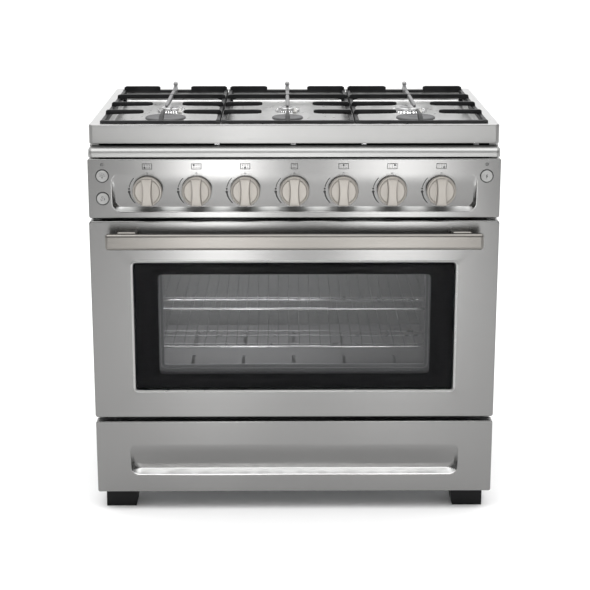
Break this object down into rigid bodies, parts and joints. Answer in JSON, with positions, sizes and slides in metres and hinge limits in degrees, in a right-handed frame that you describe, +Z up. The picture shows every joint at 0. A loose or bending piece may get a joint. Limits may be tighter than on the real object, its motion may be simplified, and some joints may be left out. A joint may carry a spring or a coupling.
{
  "type": "freestanding gas range",
  "caption": "Freestanding stainless gas range with cast-iron grates over a recessed cooktop, a knob panel, a drop-down oven door with window and bar handle, and a drawer.",
  "frame": {"origin": "on the floor, in the middle of the range's width and depth, handle included", "axes": "+X to the right as seen from the front, +Y towards the back, +Z up"},
  "size_m": [0.9, 0.666, 0.914],
  "materials": {
    "stainless_steel": "brushed",
    "cooktop_steel": "satin, bright",
    "handle_steel": "satin",
    "knob_satin": "satin, warm",
    "cast_iron": "matt enamelled",
    "cap_enamel": "matt enamel",
    "burner_aluminium": "polished",
    "door_glass": "clear, with a black printed border",
    "inner_glass": "clear",
    "oven_enamel": "semi-gloss enamel",
    "foot_black": "satin",
    "chrome_wire": "polished",
    "galvanised_steel": "zinc coated",
    "gasket_black": "woven seal",
    "brass": "machined",
    "lamp_glass": "frosted"
  },
  "bodies": {
    "range": {"side_panel_left": "stainless_steel", "side_panel_right": "stainless_steel", "back_panel": "galvanised_steel", "base_pan": "galvanised_steel", "foot_front_left": "foot_black", "foot_front_right": "foot_black", "foot_rear_left": "foot_black", "foot_rear_right": "foot_black", "cooktop": "cooktop_steel", "trim_strip": "stainless_steel", "control_panel": "stainless_steel", "gas_manifold": "brass", "door_hinge_left": "galvanised_steel", "door_hinge_right": "galvanised_steel", "oven_liner": "oven_enamel", "oven_gasket": "gasket_black", "rack_ladder_left": "chrome_wire", "rack_ladder_right": "chrome_wire", "oven_burner": "burner_aluminium", "oven_floor": "oven_enamel", "oven_lamp": "lamp_glass", "drawer_runner_left": "galvanised_steel", "drawer_runner_right": "galvanised_steel", "burner_head_front_left": "burner_aluminium", "burner_cap_front_left": "cap_enamel", "burner_head_front_centre": "burner_aluminium", "burner_cap_front_centre": "cap_enamel", "burner_head_front_right": "burner_aluminium", "burner_cap_front_right": "cap_enamel", "burner_head_rear_left": "burner_aluminium", "burner_cap_rear_left": "cap_enamel", "burner_head_rear_centre": "burner_aluminium", "burner_cap_rear_centre": "cap_enamel", "burner_head_rear_right": "burner_aluminium", "burner_cap_rear_right": "cap_enamel"},
    "door": {"door_skin": "stainless_steel", "door_glass": "door_glass", "door_inner_panel": "oven_enamel", "door_inner_glass": "inner_glass", "handle_bar": "handle_steel", "handle_post_left": "handle_steel", "handle_post_right": "handle_steel"},
    "drawer": {"drawer_front": "stainless_steel", "drawer_box": "galvanised_steel"},
    "knob_1": {"knob_1": "knob_satin"},
    "knob_2": {"knob_2": "knob_satin"},
    "knob_3": {"knob_3": "knob_satin"},
    "knob_oven": {"knob_oven": "knob_satin"},
    "knob_4": {"knob_4": "knob_satin"},
    "knob_5": {"knob_5": "knob_satin"},
    "knob_6": {"knob_6": "knob_satin"},
    "button_light": {"button_light": "knob_satin"},
    "button_fan": {"button_fan": "knob_satin"},
    "button_ignition": {"button_ignition": "knob_satin"},
    "grate_left": {"grate_left": "cast_iron"},
    "grate_centre": {"grate_centre": "cast_iron"},
    "grate_right": {"grate_right": "cast_iron"},
    "rack_upper": {"rack_upper": "chrome_wire"},
    "rack_lower": {"rack_lower": "chrome_wire"}
  },
  "joints": [
    {"name": "door_hinge", "type": "hinge", "parent": "range", "child": "door", "pos_m": [0, -0.268, 0.237], "axis": [1, 0, 0], "range_deg": [0, 90]},
    {"name": "drawer_slide", "type": "slide", "parent": "range", "child": "drawer", "axis": [0, -1, 0], "range_m": [0, 0.35]},
    {"name": "rack_upper_slide", "type": "slide", "parent": "range", "child": "rack_upper", "axis": [0, -1, 0], "range_m": [0, 0.252]},
    {"name": "rack_lower_slide", "type": "slide", "parent": "range", "child": "rack_lower", "axis": [0, -1, 0], "range_m": [0, 0.19]},
    {"name": "knob_1_turn", "type": "hinge", "parent": "range", "child": "knob_1", "pos_m": [-0.32, -0.29, 0.747], "axis": [0, -1, 0], "range_deg": [0, 210]},
    {"name": "knob_2_turn", "type": "hinge", "parent": "range", "child": "knob_2", "pos_m": [-0.213, -0.29, 0.747], "axis": [0, -1, 0], "range_deg": [0, 210]},
    {"name": "knob_3_turn", "type": "hinge", "parent": "range", "child": "knob_3", "pos_m": [-0.107, -0.29, 0.747], "axis": [0, -1, 0], "range_deg": [0, 210]},
    {"name": "knob_oven_turn", "type": "hinge", "parent": "range", "child": "knob_oven", "pos_m": [0, -0.29, 0.747], "axis": [0, -1, 0], "range_deg": [0, 240]},
    {"name": "knob_4_turn", "type": "hinge", "parent": "range", "child": "knob_4", "pos_m": [0.107, -0.29, 0.747], "axis": [0, -1, 0], "range_deg": [0, 210]},
    {"name": "knob_5_turn", "type": "hinge", "parent": "range", "child": "knob_5", "pos_m": [0.213, -0.29, 0.747], "axis": [0, -1, 0], "range_deg": [0, 210]},
    {"name": "knob_6_turn", "type": "hinge", "parent": "range", "child": "knob_6", "pos_m": [0.32, -0.29, 0.747], "axis": [0, -1, 0], "range_deg": [0, 210]},
    {"name": "button_light_press", "type": "slide", "parent": "range", "child": "button_light", "axis": [0, 1, 0], "range_m": [0, 0.003], "stiffness_N_per_m": 300},
    {"name": "button_fan_press", "type": "slide", "parent": "range", "child": "button_fan", "axis": [0, 1, 0], "range_m": [0, 0.003], "stiffness_N_per_m": 300},
    {"name": "button_ignition_press", "type": "slide", "parent": "range", "child": "button_ignition", "axis": [0, 1, 0], "range_m": [0, 0.003], "stiffness_N_per_m": 300},
    {"name": "grate_left_lift", "type": "slide", "parent": "range", "child": "grate_left", "axis": [0, 0, 1], "range_m": [0, 0.1]},
    {"name": "grate_centre_lift", "type": "slide", "parent": "range", "child": "grate_centre", "axis": [0, 0, 1], "range_m": [0, 0.1]},
    {"name": "grate_right_lift", "type": "slide", "parent": "range", "child": "grate_right", "axis": [0, 0, 1], "range_m": [0, 0.1]}
  ],
  "couplings": [
    {"joint": "rack_upper_slide", "follows": "door_hinge", "m_per_rad": 0.16},
    {"joint": "rack_lower_slide", "follows": "door_hinge", "m_per_rad": 0.12}
  ]
}
